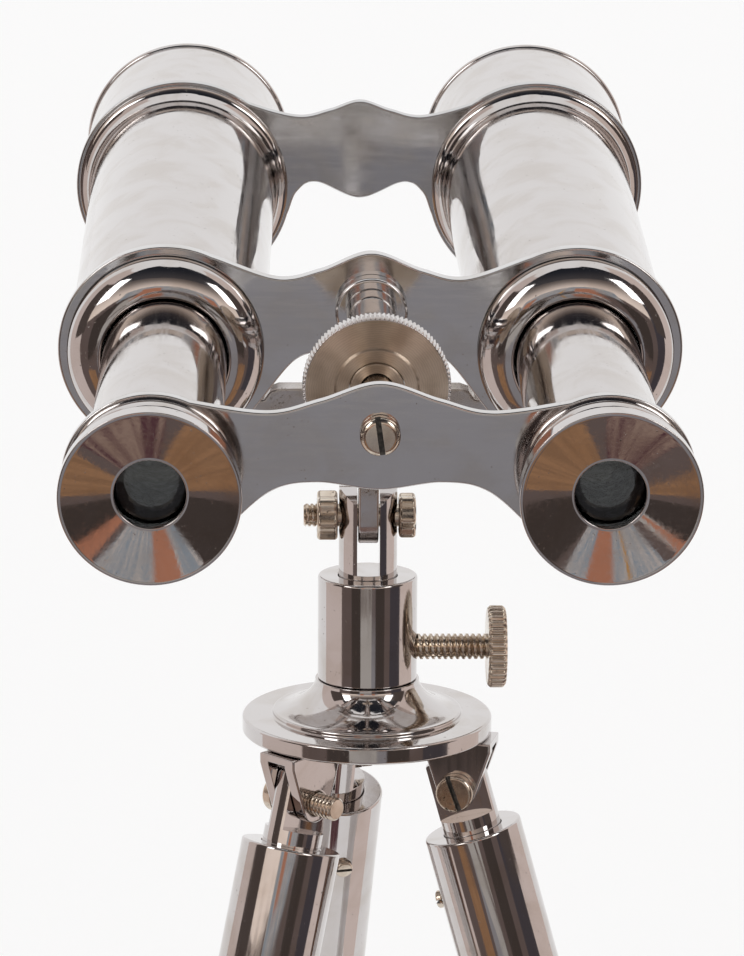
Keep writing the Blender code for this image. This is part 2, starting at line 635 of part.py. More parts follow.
def centre_over_origin():
    """Put the middle of the assembly's footprint on the world's Z axis."""
    bpy.context.view_layer.update()
    graph = bpy.context.evaluated_depsgraph_get()
    corners = []
    for obj in PARTS.objects:
        if obj.type == "MESH":
            whole = obj.evaluated_get(graph)
            corners += [whole.matrix_world @ vertex.co for vertex in whole.data.vertices]
    for axis in (0, 1):
        values = [corner[axis] for corner in corners]
        tripod.location[axis] -= (min(values) + max(values)) / 2
    bpy.context.view_layer.update()


centre_over_origin()
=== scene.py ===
"""Opera glasses on a tabletop tripod: detailed pieces, finishes, studio and camera."""
import json
import math

import bmesh
import bpy
from mathutils import Matrix, Vector


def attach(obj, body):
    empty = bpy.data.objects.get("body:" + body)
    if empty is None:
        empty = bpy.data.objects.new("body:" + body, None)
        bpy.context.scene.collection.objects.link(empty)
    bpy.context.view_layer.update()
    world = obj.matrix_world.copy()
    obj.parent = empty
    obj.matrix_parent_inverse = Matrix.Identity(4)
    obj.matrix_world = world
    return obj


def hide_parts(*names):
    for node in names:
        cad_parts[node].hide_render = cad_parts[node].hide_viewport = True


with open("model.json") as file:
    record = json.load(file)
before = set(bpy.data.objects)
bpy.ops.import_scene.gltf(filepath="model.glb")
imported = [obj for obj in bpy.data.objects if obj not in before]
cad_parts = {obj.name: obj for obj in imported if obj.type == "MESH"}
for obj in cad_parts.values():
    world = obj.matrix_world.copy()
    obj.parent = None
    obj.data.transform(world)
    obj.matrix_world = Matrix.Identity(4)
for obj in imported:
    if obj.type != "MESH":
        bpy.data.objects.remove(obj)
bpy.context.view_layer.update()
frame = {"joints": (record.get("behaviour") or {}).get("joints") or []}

MM = 0.001
JOINTS = {joint["name"]: joint for joint in frame["joints"]}

# Dimensions repeated from the CAD, in millimetres
HALF = 32.5                                  # optical axis from the middle
SPINDLE_HEIGHT = 7.0
REAR_Y, MIDDLE_Y, FRONT_Y = 8.0, 67.4, 165.0
TILT_BOLT_Y, TILT_BOLT_DROP = 76.0, 31.1
REAR_LOBE_R, MIDDLE_LOBE_R, FRONT_LOBE_R = 12.9, 17.1, 19.8
BARREL_LOW, BARREL_HIGH, BARREL_WALL = 69.5, 164.9, 0.9
BARREL_LOW_R, BARREL_HIGH_R, BARREL_MOUTH_R = 15.4, 16.9, 19.2
FLARE_RISE, FLARE_START = 2.3, 160.7         # how far the barrel flares, and from where
CAP_R, CAP_HOLE_R, CAP_HEIGHT, CAP_SKIRT_R = 15.6, 10.0, 4.9, 13.1
HUB_R, WHEEL_R, WHEEL_REAR_Y = 4.05, 11.0, 27.9
BOLT_R, BOLT_HOLE_R, BOLT_PITCH = 1.9, 2.0, 0.8
CLAMP_R, CLAMP_PITCH, CLAMP_DROP = 2.15, 1.0, 22.3
SPINDLE_R, SPINDLE_PITCH = 2.4, 1.5
SET_SCREW_R, SET_SCREW_PITCH, SET_SCREW_DROP = 1.5, 0.6, 18.6
LEG_SPLAY = 16                               # degrees
PIVOT_TO_FLOOR = 206.0
SIDES = (("left", -HALF), ("right", HALF))


# ---------------------------------------------------------------- frames

def turn(degrees, axis):
    return Matrix.Rotation(math.radians(degrees), 4, axis)


ALONG_Y, ALONG_X = turn(-90, "X"), turn(90, "Y")
FACE_Y, FACE_X = turn(90, "X"), turn(90, "Z") @ turn(90, "X")
UPRIGHT = Matrix.Identity(4)


def axes(origin, x, y):
    """Frame at a point in metres, from its X and Y directions."""
    x, y = Vector(x).normalized(), Vector(y).normalized()
    return Matrix.Translation(origin) @ Matrix((x, y, x.cross(y))).transposed().to_4x4()


BOLT = axes(JOINTS["tilt"]["pos_m"], (1, 0, 0), (0, 1, 0))
GLASSES = axes(JOINTS["tilt"]["pos_m"], (1, 0, 0), JOINTS["focus_slide"]["axis"])


def place(base, x, y, z, rotation=UPRIGHT):
    return base @ Matrix.Translation(Vector((x, y, z)) * MM) @ rotation


def optical(x, z=0.0, y=0.0, rotation=ALONG_Y):
    """Place in the glasses, from the middle of the eyecup faces."""
    return place(GLASSES, x, y - TILT_BOLT_Y, z + TILT_BOLT_DROP, rotation)


def leg_frame(number):
    """Frame at a leg's pivot: X outward, Y along the pin."""
    joint = JOINTS["leg_%d_fold" % number]
    pin = Vector(joint["axis"])
    return axes(joint["pos_m"], pin.cross(Vector((0, 0, 1))), pin)


# ---------------------------------------------------------------- materials

def linear(code):
    """Linear colour from a hex code."""
    values = [int(code[i:i + 2], 16) / 255 for i in (0, 2, 4)]
    return tuple(v / 12.92 if v <= 0.04045 else ((v + 0.055) / 1.055) ** 2.4 for v in values)


def node(tree, kind, inputs=(), **settings):
    """Add a node, with its inputs given as (socket, value or output) pairs."""
    made = tree.nodes.new(kind)
    for name, value in settings.items():
        setattr(made, name, value)
    for socket, value in inputs:
        if isinstance(value, bpy.types.NodeSocket):
            tree.links.new(value, made.inputs[socket])
        else:
            made.inputs[socket].default_value = value
    return made


def noise(tree, coords, scale, detail=2.0, stretch=None, distortion=0.0):
    """Noise value over coordinates, stretched by a scale for each axis."""
    if stretch:
        coords = node(tree, "ShaderNodeMapping", [(0, coords), (3, stretch)]).outputs[0]
    return node(tree, "ShaderNodeTexNoise", [
        ("Vector", coords), ("Scale", scale), ("Detail", detail),
        ("Distortion", distortion)]).outputs[0]


def spread(tree, value, low, high, to_low=0.0, to_high=1.0):
    """Smooth map of a value from one range to another."""
    return node(tree, "ShaderNodeMapRange", [
        (0, value), (1, low), (2, high), (3, to_low), (4, to_high)],
        interpolation_type="SMOOTHSTEP").outputs[0]


def blend(tree, factor, first, second):
    mix = node(tree, "ShaderNodeMix", data_type="RGBA")
    for socket, value in ((0, factor), (6, first), (7, second)):
        if isinstance(value, bpy.types.NodeSocket):
            tree.links.new(value, mix.inputs[socket])
        else:
            mix.inputs[socket].default_value = value if socket == 0 else (*value, 1.0)
    return mix.outputs[2]


def bump(tree, height, strength, distance, normal=None):
    made = node(tree, "ShaderNodeBump", [
        ("Height", height), ("Strength", strength), ("Distance", distance)])
    if normal:
        tree.links.new(normal, made.inputs["Normal"])
    return made.outputs[0]


def new_look(name):
    look = bpy.data.materials.new(name)
    look.use_nodes = True
    tree = look.node_tree
    return look, tree, tree.nodes["Principled BSDF"], node(tree, "ShaderNodeTexCoord").outputs["Object"]


PIT_BROWN = (0.10, 0.075, 0.055)


def metal(name, colour, tarnish, smooth, rough, stretch=(1, 1, 1), wave=0.03, spots=0.72):
    """Worn nickel plate: smudged colour and gloss, sparse pits, fine directional grain.

    spots is the noise level above which a pit shows."""
    look, tree, shader, coords = new_look(name)
    smudge = noise(tree, coords, 130.0, 4.0, distortion=0.6)
    film = spread(tree, smudge, 0.38, 0.72)
    tint = blend(tree, film, colour, tarnish)
    pits = spread(tree, noise(tree, coords, 2300.0, 1.0), spots, spots + 0.04)
    area = spread(tree, noise(tree, coords, 210.0, 2.0), 0.54, 0.66)
    pits = node(tree, "ShaderNodeMath", [(0, pits), (1, area)], operation="MULTIPLY").outputs[0]
    tint = blend(tree, pits, tint, PIT_BROWN)
    tree.links.new(tint, shader.inputs["Base Color"])
    shader.inputs["Metallic"].default_value = 1.0
    lines = noise(tree, coords, 1400.0, 2.0, stretch)
    gloss = spread(tree, smudge, 0.3, 0.75, smooth, rough)
    grainy = spread(tree, lines, 0.3, 0.7, -0.02, 0.04)
    gloss = node(tree, "ShaderNodeMath", [(0, gloss), (1, grainy)], operation="ADD",
                 use_clamp=True).outputs[0]
    tree.links.new(gloss, shader.inputs["Roughness"])
    relief = bump(tree, noise(tree, coords, 95.0, 1.0), wave, 0.001)
    relief = bump(tree, lines, 0.06, 0.00004, relief)
    relief = bump(tree, pits, 0.4, -0.00006, relief)
    tree.links.new(relief, shader.inputs["Normal"])
    return look


def turned_metal():
    """Lathe-turned face: concentric tool marks that spread the highlight sideways."""
    look, tree, shader, coords = new_look("turned_nickel")
    smudge = noise(tree, coords, 160.0, 4.0)
    tint = blend(tree, spread(tree, smudge, 0.35, 0.7), (0.74, 0.62, 0.51), (0.55, 0.44, 0.34))
    rings = node(tree, "ShaderNodeTexWave", [
        ("Vector", coords), ("Scale", 900.0), ("Distortion", 5.0), ("Detail", 3.0)],
        wave_type="RINGS", rings_direction="Z").outputs[0]
    tint = blend(tree, spread(tree, rings, 0.0, 1.0, 0.0, 0.18), tint, (0.30, 0.24, 0.18))
    tree.links.new(tint, shader.inputs["Base Color"])
    shader.inputs["Metallic"].default_value = 1.0
    shader.inputs["Anisotropic"].default_value = 0.95
    shader.inputs["Anisotropic Rotation"].default_value = 0.25
    tree.links.new(spread(tree, smudge, 0.3, 0.7, 0.34, 0.42), shader.inputs["Roughness"])
    tree.links.new(node(tree, "ShaderNodeTangent", direction_type="RADIAL", axis="Z").outputs[0],
                   shader.inputs["Tangent"])
    tree.links.new(bump(tree, rings, 0.12, 0.00003), shader.inputs["Normal"])
    return look


def black_lacquer_and_shade():
    """Matt black paint inside the tubes, with dust and brushed patches; the same black is painted shade
    at the foot of each barrel cap.
    """
    look, tree, shader, coords = new_look("black_lacquer_and_shade")
    dust = noise(tree, coords, 700.0, 4.0)
    tint = blend(tree, spread(tree, dust, 0.5, 0.75), (0.012, 0.012, 0.013), (0.05, 0.046, 0.042))
    tree.links.new(tint, shader.inputs["Base Color"])
    tree.links.new(spread(tree, dust, 0.3, 0.7, 0.45, 0.75), shader.inputs["Roughness"])
    tree.links.new(bump(tree, dust, 0.2, 0.00005), shader.inputs["Normal"])
    return look


def lens_glass():
    """Clear glass with a faint green body and a film of dust."""
    look, tree, shader, coords = new_look("lens_glass")
    film = noise(tree, coords, 260.0, 4.0, distortion=1.0)
    tint = blend(tree, spread(tree, film, 0.45, 0.75), (0.86, 0.90, 0.90), (0.76, 0.77, 0.75))
    tree.links.new(tint, shader.inputs["Base Color"])
    shader.inputs["Transmission Weight"].default_value = 1.0
    shader.inputs["IOR"].default_value = 1.52
    tree.links.new(spread(tree, film, 0.4, 0.8, 0.0, 0.12), shader.inputs["Roughness"])
    return look


def dark_slot_fill():
    """Dark matt blotched colour on the screw slots' cut faces."""
    look, tree, shader, coords = new_look("dark_slot_fill")
    blotch = noise(tree, coords, 900.0, 4.0)
    tint = blend(tree, spread(tree, blotch, 0.4, 0.7), (0.04, 0.034, 0.029), (0.13, 0.11, 0.09))
    tree.links.new(tint, shader.inputs["Base Color"])
    shader.inputs["Roughness"].default_value = 0.75
    tree.links.new(bump(tree, blotch, 0.5, 0.00008), shader.inputs["Normal"])
    return look


def foot_rubber():
    """Dark moulded rubber, scuffed paler."""
    look, tree, shader, coords = new_look("foot_rubber")
    scuff = noise(tree, coords, 420.0, 5.0)
    tint = blend(tree, spread(tree, scuff, 0.52, 0.72), (0.022, 0.021, 0.020), (0.07, 0.065, 0.06))
    tree.links.new(tint, shader.inputs["Base Color"])
    tree.links.new(spread(tree, scuff, 0.3, 0.7, 0.5, 0.8), shader.inputs["Roughness"])
    tree.links.new(bump(tree, scuff, 0.3, 0.0001), shader.inputs["Normal"])
    return look


BRIGHT, CREAM = (0.60, 0.572, 0.565), (0.54, 0.50, 0.475)
ALONG_X_GRAIN, ALONG_Z_GRAIN = (0.12, 1, 1), (1, 1, 0.03)
NICKEL = metal("polished_nickel", BRIGHT, CREAM, 0.035, 0.10, ALONG_Z_GRAIN)
ROUGH_NICKEL = metal("rough_nickel", BRIGHT, (0.52, 0.47, 0.42), 0.12, 0.30, (1, 1, 0.5), 0.10,
                     0.60)
PLATE = metal("plate_nickel", (0.65, 0.64, 0.64), (0.60, 0.58, 0.565), 0.06, 0.13,
              ALONG_X_GRAIN, 0.003, 0.74)
# The front plate's nickel is the plate finish in a darker colour: painted shade.
SHADED_PLATE = metal("shaded_plate_nickel", (0.54, 0.535, 0.54), (0.49, 0.475, 0.465), 0.06, 0.13,
                   ALONG_X_GRAIN, 0.003, 0.74)
WARM = metal("hardware_nickel", (0.68, 0.60, 0.51), (0.50, 0.40, 0.31), 0.12, 0.28, (1, 1, 1),
             0.05, 0.62)
TURNED = turned_metal()
BLACK_PAINT_AND_SHADE = black_lacquer_and_shade()
GLASS = lens_glass()
RUBBER = foot_rubber()
SLOT_DARK = dark_slot_fill()


# ---------------------------------------------------------------- meshes

FLAT_ENOUGH = 0.21                           # bend in radians that is left unrounded
CORNER_SHARE = 0.42                          # most of a side that a rounding may take
SUPPORT = 1.12                               # support point, in roundings from the corner


def rounded(profile, soft, closed):
    """Round the corners of a profile, with a support point beside each rounding.

    A point may carry its own corner size as a third number."""
    points = []
    count = len(profile)
    for i, item in enumerate(profile):
        point = Vector(item[:2])
        if not closed and i in (0, count - 1):
            points.append(point)
            continue
        size = item[2] if len(item) > 2 else soft
        back = Vector(profile[i - 1][:2]) - point
        ahead = Vector(profile[(i + 1) % count][:2]) - point
        bend = math.pi - back.angle(ahead)
        reach = min(size, CORNER_SHARE * back.length, CORNER_SHARE * ahead.length)
        if bend < FLAT_ENOUGH or reach <= 0:
            points.append(point)
            continue
        back, ahead = back.normalized() * reach, ahead.normalized() * reach
        points.append(point + back * SUPPORT)
        for t in (0, 0.25, 0.5, 0.75, 1):
            points.append(point + back * (1 - t) ** 2 + ahead * t * t)
        points.append(point + ahead * SUPPORT)
    return points


def arc(centre, radius, start, end, count):
    """Points on an arc, angles in degrees."""
    steps = [math.radians(start + (end - start) * i / (count - 1)) for i in range(count)]
    return [(centre[0] + radius * math.cos(a), centre[1] + radius * math.sin(a)) for a in steps]


def tidy(mesh):
    """Weld, turn the faces outward and smooth all but sharp edges."""
    work = bmesh.new()
    work.from_mesh(mesh)
    bmesh.ops.remove_doubles(work, verts=work.verts, dist=1e-7)
    bmesh.ops.recalc_face_normals(work, faces=work.faces)
    for face in work.faces:
        face.smooth = True
    work.to_mesh(mesh)
    work.free()
    mesh.set_sharp_from_angle(angle=math.radians(32))
    return mesh


def lathe(profile, steps, soft=0.12, closed=True, shape=None, inside=None):
    """Turn (radius, height) points round Z. shape(r, h, angle) gives a worked radius;
    inside(r, h) picks the faces that take a piece's second material."""
    points = rounded(profile, soft, closed)
    vertices, rows, faces, slots = [], [], [], []
    for r, h in points:
        if r < 1e-5:
            rows.append([len(vertices)] * steps)
            vertices.append((0, 0, h * MM))
            continue
        rows.append(list(range(len(vertices), len(vertices) + steps)))
        for k in range(steps):
            a = 2 * math.pi * k / steps
            radius = shape(r, h, a) if shape else r
            vertices.append((radius * math.cos(a) * MM, radius * math.sin(a) * MM, h * MM))
    spans = len(rows) if closed else len(rows) - 1
    for i in range(spans):
        first, second = rows[i], rows[(i + 1) % len(rows)]
        (r0, h0), (r1, h1) = points[i], points[(i + 1) % len(rows)]
        slot = 1 if inside and inside((r0 + r1) / 2, (h0 + h1) / 2) else 0
        for k in range(steps):
            n = (k + 1) % steps
            corners = list(dict.fromkeys((first[k], first[n], second[n], second[k])))
            if len(corners) > 2:
                faces.append(corners)
                slots.append(slot)
    mesh = bpy.data.meshes.new("lathe")
    mesh.from_pydata(vertices, [], faces)
    mesh.polygons.foreach_set("material_index", slots)
    return tidy(mesh)


def offset_loop(loop, distance):
    """Move a closed loop sideways by its mitred normals, outward on a left-hand loop."""
    moved = []
    for i, point in enumerate(loop):
        before, here, after = Vector(loop[i - 1]), Vector(point), Vector(loop[(i + 1) % len(loop)])
        a, b = (here - before).normalized(), (after - here).normalized()
        n1, n2 = Vector((a.y, -a.x)), Vector((b.y, -b.x))
        moved.append(here + (n1 + n2) / max(0.5, 1 + n1.dot(n2)) * distance)
    return moved


def solid(outline, thick, holes=(), edge=0.2):
    """Flat piece from an outline in XY, with round holes and rounded rims."""
    top = thick / 2
    run = [(-edge * 1.5, top)]
    run += [(-edge + edge * math.sin(math.radians(a)), top - edge + edge * math.cos(math.radians(a)))
            for a in (0, 22.5, 45, 67.5, 90)]
    run += [(0, top - edge * 1.1)]
    run += [(d, -z) for d, z in reversed(run)]
    area = sum(a[0] * b[1] - b[0] * a[1] for a, b in zip(outline, outline[1:] + outline[:1]))
    loops = [list(outline) if area > 0 else list(reversed(outline))]
    for (x, y), radius, facets in holes:
        loops.append(arc((x, y), radius, 360, 360 / facets, facets))
    work = bmesh.new()
    caps = ([], [])
    for loop in loops:
        rings = []
        for d, z in run:
            ring = [work.verts.new((p.x * MM, p.y * MM, z * MM)) for p in offset_loop(loop, d)]
            rings.append(ring)
        for first, second in zip(rings, rings[1:]):
            for k in range(len(loop)):
                n = (k + 1) % len(loop)
                work.faces.new((first[k], first[n], second[n], second[k]))
        for cap, ring in zip(caps, (rings[0], rings[-1])):
            for k in range(len(loop)):
                cap.append(work.edges.get((ring[k], ring[(k + 1) % len(loop)])))
    for cap in caps:
        bmesh.ops.triangle_fill(work, use_beauty=True, edges=cap)
    mesh = bpy.data.meshes.new("solid")
    work.to_mesh(mesh)
    work.free()
    return tidy(mesh)


def block(x, y, z):
    """Plain box for cutting, by its ranges in millimetres."""
    mesh = bpy.data.meshes.new("block")
    corners = [(i * MM, j * MM, k * MM) for i in x for j in y for k in z]
    mesh.from_pydata(corners, [], [(0, 1, 3, 2), (4, 6, 7, 5), (0, 4, 5, 1), (2, 3, 7, 6),
                                   (0, 2, 6, 4), (1, 5, 7, 3)])
    return tidy(mesh)


def moved(mesh, matrix):
    mesh.transform(matrix)
    return mesh


def settle(obj):
    """Replace an object's mesh by what its modifiers make of it."""
    graph = bpy.context.evaluated_depsgraph_get()
    old = obj.data
    mesh = bpy.data.meshes.new_from_object(obj.evaluated_get(graph))
    obj.modifiers.clear()
    obj.data = mesh
    bpy.data.meshes.remove(old)


def carve(mesh, tools, bevel=0.12, looks=()):
    """Cut tool meshes, given as (operation, mesh), and soften the new edges.

    With two looks, the cut faces take the second."""
    obj = bpy.data.objects.new("work", mesh)
    bpy.context.scene.collection.objects.link(obj)
    for look in looks:
        mesh.materials.append(look)
    for operation, tool in tools:
        for look in looks:
            tool.materials.append(look)
        tool.polygons.foreach_set("material_index", [1 if looks else 0] * len(tool.polygons))
        helper = bpy.data.objects.new("tool", tool)
        bpy.context.scene.collection.objects.link(helper)
        cut = obj.modifiers.new("cut", "BOOLEAN")
        cut.operation, cut.solver, cut.object = operation, "EXACT", helper
        settle(obj)
        bpy.data.objects.remove(helper)
    tidy(obj.data)
    if bevel:
        soften = obj.modifiers.new("soften", "BEVEL")
        soften.width, soften.segments = bevel * MM, 2
        soften.limit_method, soften.angle_limit = "ANGLE", math.radians(34)
        soften.harden_normals = True
        settle(obj)
    mesh = obj.data
    bpy.data.objects.remove(obj)
    return mesh


def piece(name, mesh, matrix, looks, body, *nodes):
    """Put a finished mesh in the scene, on its body, in place of its CAD nodes."""
    obj = bpy.data.objects.new(name, mesh)
    bpy.context.scene.collection.objects.link(obj)
    mesh.name = name
    looks = looks if isinstance(looks, tuple) else (looks,)
    for look in looks[len(mesh.materials):]:
        mesh.materials.append(look)
    obj.matrix_world = matrix
    bpy.context.view_layer.update()
    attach(obj, body)
    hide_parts(*nodes)


# ---------------------------------------------------------------- shared shapes

def knurl(radius, teeth, depth, band):
    """Straight knurl: notches the radius where it is near the rim."""
    def shape(r, _height, angle):
        near = max(0.0, min(1.0, (r - (radius - band)) / band * 2))
        notch = (0.5 + 0.5 * math.cos(teeth * angle)) ** 1.6
        return r - depth * near * notch
    return shape


def thread(radius, pitch, depth, low, high):
    """Helical thread between two heights, running out at its ends."""
    def shape(r, height, angle):
        if r < radius - 0.6 * depth or not low < height < high:
            return r
        phase = (height / pitch - angle / (2 * math.pi)) % 1.0
        groove = min(1.0, max(0.0, 1.15 - abs(phase - 0.5) * 4))
        fade = min(1.0, (height - low) / (0.5 * pitch), (high - height) / (0.5 * pitch))
        return r - depth * groove * fade
    return shape


def threaded_run(radius, low, high, pitch):
    """Profile points down a threaded side, eight for each turn of the thread."""
    count = max(2, int((high - low) / pitch * 8))
    return [(radius, high - (high - low) * i / count, 0) for i in range(count + 1)]


def lobed(radius, wave, lobes=6, per_lobe=16):
    """Star knob outline: round lobes with softer notches between."""
    outline = []
    for i in range(lobes * per_lobe):
        a = 2 * math.pi * i / (lobes * per_lobe)
        r = radius + wave * (1 - 2 * abs(math.sin(lobes * a / 2)) ** 1.6)
        outline.append((r * math.cos(a), r * math.sin(a)))
    return outline


def smooth_run(keys, steps, before, after):
    """Catmull-Rom curve through the key points, aimed by a point before and after."""
    padded = [Vector(p) for p in [before] + list(keys) + [after]]
    run = []
    for i in range(1, len(padded) - 2):
        p0, p1, p2, p3 = padded[i - 1:i + 3]
        for step in range(steps):
            t = step / steps
            run.append(0.5 * (2 * p1 + (p2 - p0) * t + (2 * p0 - 5 * p1 + 4 * p2 - p3) * t * t
                              + (3 * p1 - p0 - 3 * p2 + p3) * t ** 3))
    return [(p.x, p.y) for p in run] + [tuple(keys[-1])]


def cross_hole(radius, low, high, direction, drop=0.0):
    """Round cutter between two distances along a direction, at a drop in millimetres."""
    rod = lathe([(0, high), (radius, high, 0), (radius, low, 0), (0, low)], 48, closed=False)
    return moved(rod, Matrix.Translation((0, 0, -drop * MM)) @ direction)


def on_lobe(x, lobe_r, sign):
    return (x, sign * math.sqrt(lobe_r ** 2 - (x - HALF) ** 2))


def plate_outline(top, bottom, lobe_r):
    """Two round lobes, scalloped between; top and bottom keys are on the right half."""
    def lobe_point(point, shift):
        angle = math.atan2(point[1], point[0] - HALF) + shift
        return (HALF + lobe_r * math.cos(angle), lobe_r * math.sin(angle))
    start, end = (math.degrees(math.atan2(p[1], p[0] - HALF)) for p in (top[-1], bottom[0]))
    lobe = arc((HALF, 0), lobe_r, start, end, 90)
    mirror = (-top[1][0], top[1][1])
    over = smooth_run(top, 14, mirror, lobe_point(top[-1], -0.35))
    mirror = (-bottom[-2][0], bottom[-2][1])
    under = smooth_run(bottom, 14, lobe_point(bottom[0], 0.35), mirror)
    right = over[:-1] + lobe + under[1:]
    left = [(-x, y) for x, y in reversed(right[1:-1])]
    return list(reversed(right + left))


# ---------------------------------------------------------------- plates

def plates():
    rear = plate_outline([(0, 14.5), (8.5, 11.9), (16, 10.1), on_lobe(27, REAR_LOBE_R, 1)],
                         [on_lobe(22.3, REAR_LOBE_R, -1), (15.6, -1.8), (9, -0.4), (0, -1.5)],
                         REAR_LOBE_R)
    middle = plate_outline([(0, 16.1), (8.0, 13.2), (15, 11.9), on_lobe(25.2, MIDDLE_LOBE_R, 1)],
                           [on_lobe(18.2, MIDDLE_LOBE_R, -1), (12, -1.6), (6.5, -0.3), (0, -1.4)],
                           MIDDLE_LOBE_R)
    front = plate_outline([(0, 16.3), (5.5, 14.6), (11.5, 13.4), on_lobe(20.5, FRONT_LOBE_R, 1)],
                          [on_lobe(13.4, FRONT_LOBE_R, -1), (11.6, -0.9), (8, 1.0), (0, -2.0)],
                          FRONT_LOBE_R)
    for name, outline, look, body, y, thick, bore, spindle in (
            ("rear_plate", rear, PLATE, "carriage", REAR_Y, 1.6, 8.0, 1.6),
            ("middle_plate", middle, PLATE, "glasses", MIDDLE_Y, 2.0, 13.1, 3.1),
            # front plate: the darker nickel, painted shade
            ("front_plate", front, SHADED_PLATE, "glasses", FRONT_Y, 2.0, 15.5, 0)):
        holes = [((-HALF, 0), bore, 96), ((HALF, 0), bore, 96)]
        if spindle:
            holes.append(((0, SPINDLE_HEIGHT), spindle, 40))
        piece(name, solid(outline, thick, holes, 0.28), optical(0, 0, y + thick / 2, FACE_Y),
              look, body, name)


# ---------------------------------------------------------------- eyepieces and tubes

def eyepiece(side, x):
    cup = [(13.0, 3.0, 0.4), (13.0, 0.0, 0.4), (12.55, 0.0, 0.2), (12.2, 0.12),
           (5.5, 2.02, 0.05), (5.1, 2.02, 0.2), (5.1, 3.0, 0.1)]
    piece("eyecup_" + side, lathe(cup, 144), optical(x), NICKEL, "carriage", "eyecup_" + side)
    collar = [(11.9, 7.9, 0.3), (12.3, 7.0, 0.5), (12.2, 5.9, 0.5), (11.2, 4.9, 0.8),
              (11.0, 3.1, 0.2), (7.2, 3.1), (7.2, 7.9)]
    piece("eyepiece_collar_" + side,
          lathe(collar, 144, inside=lambda r, h: r < 7.3), optical(x), (NICKEL, BLACK_PAINT_AND_SHADE), "carriage",
          "eyepiece_collar_" + side)
    rear = [(7.0 * k / 8, 3.6 + 0.55 * (k / 8) ** 2) for k in range(9)]
    front = [(7.0 * k / 8, 5.6 + 1.0 * (k / 8) ** 2) for k in range(8, -1, -1)]
    piece("eye_lens_" + side, lathe(rear + front, 96, 0.1, closed=False), optical(x), GLASS,
          "carriage", "eye_lens_" + side)
    tube = [(14.1, 100.0, 0.3), (14.1, 97.0, 0.3), (9.8, 97.0, 0.2), (9.8, 9.7, 0.15),
            (9.1, 9.7, 0.15), (9.1, 100.0, 0.2)]
    piece("draw_tube_" + side, lathe(tube, 144, inside=lambda r, h: r < 9.2), optical(x),
          (NICKEL, BLACK_PAINT_AND_SHADE), "carriage", "draw_tube_" + side)


def barrel(side, x):
    flare = []
    for i in range(19):
        a = math.radians(88 - 88 * i / 18)
        flare.append((BARREL_HIGH_R + FLARE_RISE * (1 - math.cos(a)),
                      BARREL_HIGH - 0.2 - 4.0 * (1 - math.sin(a))))
    outer = [(BARREL_MOUTH_R, BARREL_HIGH)] + flare + [(BARREL_LOW_R, BARREL_LOW)]
    inner = [(r - BARREL_WALL, h) for r, h in reversed(outer)]
    piece("barrel_" + side, lathe(outer + inner, 160, inside=barrel_inside), optical(x),
          (NICKEL, BLACK_PAINT_AND_SHADE), "glasses", "barrel_" + side)

    high = 67.3
    top = high - CAP_HEIGHT
    dome = []
    for i in range(15):
        a = math.radians(90 * i / 14)
        dome.append((CAP_R - 5.2 * (1 - math.cos(a)), high - 0.8 - 4.1 * math.sin(a)))
    painted_shade_line = high - 0.4                      # painted shade: a black band where the cap meets its plate
    cap = [(CAP_R, high, 0.1), (CAP_R, painted_shade_line, 0)] + dome + [
        (CAP_HOLE_R, top + 0.35, 0.2), (CAP_HOLE_R, top + 1.2, 0.1), (12.4, top + 1.6),
        (CAP_SKIRT_R, high - 1.2), (CAP_SKIRT_R, high, 0.1)]
    # The band at the cap's foot, where it meets the plate, takes the black material as painted shade.
    cap = lathe(cap, 160,
                inside=lambda r, h: h > (top + 1.25 if r < CAP_SKIRT_R + 0.1 else painted_shade_line))
    piece("barrel_cap_" + side, cap, optical(x), (NICKEL, BLACK_PAINT_AND_SHADE), "glasses", "barrel_cap_" + side)

    start, end = 167.1, 198.4
    bead = arc((18.7, end - 0.8), 0.8, 90, -68, 17)
    hood = bead + [(19.0, start, 0.2), (18.1, start, 0.1), (18.1, end, 0.2)]
    piece("objective_hood_" + side, lathe(hood, 160, inside=lambda r, h: r < 18.2), optical(x),
          (NICKEL, BLACK_PAINT_AND_SHADE), "glasses", "objective_hood_" + side)
    low = start + 1.7
    faces = [[(17.9 * k / 12, base + sign * 1.5 * (1 - (k / 12) ** 2)) for k in range(13)]
             for base, sign in ((low + 2.2, 1), (low, -1))]
    piece("objective_lens_" + side, lathe(faces[0] + faces[1][::-1], 128, 0.1, closed=False),
          optical(x), GLASS, "glasses", "objective_lens_" + side)
    ring_low = low + 2.6
    ring = [(17.9, ring_low + 1.8, 0.1), (17.9, ring_low, 0.1), (16.5, ring_low, 0.1),
            (16.5, ring_low + 1.3, 0.1), (16.9, ring_low + 1.8, 0.1)]
    notches = [("DIFFERENCE", block((s * 15, s * 17.4), (-0.9, 0.9), (ring_low + 0.8, ring_low + 3)))
               for s in (-1, 1)]
    piece("objective_ring_" + side, carve(lathe(ring, 128), notches, 0.06), optical(x), BLACK_PAINT_AND_SHADE,
          "glasses", "objective_ring_" + side)


def barrel_inside(r, h):
    """True on the barrel's inner wall, which lies under half a wall below its outer one."""
    along = min(1.0, (h - BARREL_LOW) / (FLARE_START - BARREL_LOW))
    outer = BARREL_LOW_R + (BARREL_HIGH_R - BARREL_LOW_R) * along
    if h > FLARE_START:
        along = (h - FLARE_START) / (BARREL_HIGH - FLARE_START)
        outer = BARREL_HIGH_R + FLARE_RISE * (1 - math.sqrt(max(0.0, 1 - along ** 2)))
    return r < outer - 0.5


# ---------------------------------------------------------------- focus drive

